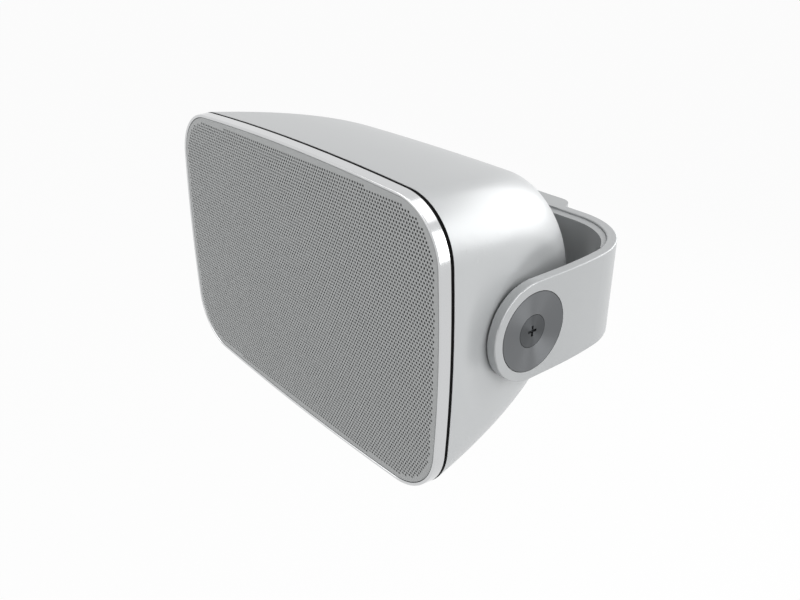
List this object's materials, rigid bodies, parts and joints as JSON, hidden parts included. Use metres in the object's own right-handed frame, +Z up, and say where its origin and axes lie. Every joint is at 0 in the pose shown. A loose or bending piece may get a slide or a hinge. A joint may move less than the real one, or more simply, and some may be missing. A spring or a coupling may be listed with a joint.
{
  "type": "outdoor patio speaker",
  "caption": "Outdoor two-way speaker with a bowed, tapering cabinet and a perforated front grille, tilting in a U-shaped wall bracket.",
  "frame": {"origin": "middle of the wall pad's back face, between the four wall screw holes", "axes": "+X along the wide front, +Y towards the wall, +Z up; the speaker faces -Y"},
  "size_m": [0.2956, 0.1936, 0.192],
  "materials": {
    "body_paint": "silver painted, satin",
    "trim_metal": "bright, polished",
    "grille_steel": "silver powder coat",
    "black_foam": "closed-cell foam",
    "black_cloth": "open acoustic cloth",
    "baffle_plastic": "moulded, fine grain",
    "driver_steel": "black, satin",
    "surround_rubber": "satin",
    "cone_plastic": "filled polypropylene, fine grain",
    "coil_copper": "lacquered copper wire",
    "spider_cloth": "resin-stiffened cloth",
    "zinc_steel": "zinc plated",
    "ferrite": "dark ceramic ferrite",
    "dome_metal": "anodised, satin",
    "black_screw": "black zinc",
    "board_laminate": "glass-fibre laminate",
    "capacitor_film": "wrapped film",
    "resistor_ceramic": "ceramic, matt",
    "cup_plastic": "moulded",
    "post_brass": "plated brass",
    "nut_red_plastic": "moulded knurl",
    "nut_black_plastic": "moulded knurl",
    "disc_metal": "turned in fine rings",
    "screw_steel": "satin",
    "insert_brass": "machined",
    "washer_plastic": "acetal",
    "bracket_paint": "silver powder coat, satin",
    "cover_plastic": "silver painted, satin"
  },
  "bodies": {
    "bracket": {"bracket": "bracket_paint", "bracket_cover": "cover_plastic", "pivot_disc_left": "disc_metal", "pivot_disc_right": "disc_metal", "friction_washer_left": "washer_plastic", "friction_washer_right": "washer_plastic"},
    "cabinet": {"cabinet": "body_paint", "trim_ring": "trim_metal", "grille": "grille_steel", "cabinet_gasket": "black_foam", "grille_cloth": "black_cloth", "baffle": "baffle_plastic", "woofer_basket": "driver_steel", "tweeter_plate": "driver_steel", "crossover_coils": "coil_copper", "woofer_spider": "spider_cloth", "woofer_top_plate": "zinc_steel", "woofer_yoke": "zinc_steel", "tweeter_top_plate": "zinc_steel", "tweeter_yoke": "zinc_steel", "woofer_magnet": "ferrite", "tweeter_magnet": "ferrite", "baffle_screws": "black_screw", "woofer_screws": "black_screw", "tweeter_screws": "black_screw", "board_screws": "black_screw", "terminal_screws": "black_screw", "crossover_board": "board_laminate", "crossover_capacitors": "capacitor_film", "crossover_resistor": "resistor_ceramic", "terminal_cup": "cup_plastic", "terminal_posts": "post_brass", "pivot_screw_left": "screw_steel", "pivot_screw_right": "screw_steel", "pivot_insert_left": "insert_brass", "pivot_insert_right": "insert_brass"},
    "woofer_mover": {"woofer_cone": "cone_plastic", "woofer_dust_cap": "cone_plastic", "woofer_coil": "coil_copper", "woofer_surround": "surround_rubber"},
    "tweeter_mover": {"tweeter_dome": "dome_metal"},
    "nut_red": {"terminal_nut_red": "nut_red_plastic"},
    "nut_black": {"terminal_nut_black": "nut_black_plastic"}
  },
  "joints": [
    {"name": "tilt", "type": "hinge", "parent": "bracket", "child": "cabinet", "pos_m": [0, -0.123, 0], "axis": [1, 0, 0], "range_deg": [-60, 60]},
    {"name": "woofer_travel", "type": "slide", "parent": "cabinet", "child": "woofer_mover", "axis": [0, -1, 0], "range_m": [-0.0035, 0.0035], "stiffness_N_per_m": 1200},
    {"name": "tweeter_travel", "type": "slide", "parent": "cabinet", "child": "tweeter_mover", "axis": [0, -1, 0], "range_m": [-0.0004, 0.0004], "stiffness_N_per_m": 2000},
    {"name": "nut_red_turn", "type": "hinge", "parent": "cabinet", "child": "nut_red", "pos_m": [0.03047, -0.054, -0.0033], "axis": [0, 1, 0], "range_deg": [-720, 720]},
    {"name": "nut_black_turn", "type": "hinge", "parent": "cabinet", "child": "nut_black", "pos_m": [0.04952, -0.054, -0.0033], "axis": [0, 1, 0], "range_deg": [-720, 720]}
  ]
}
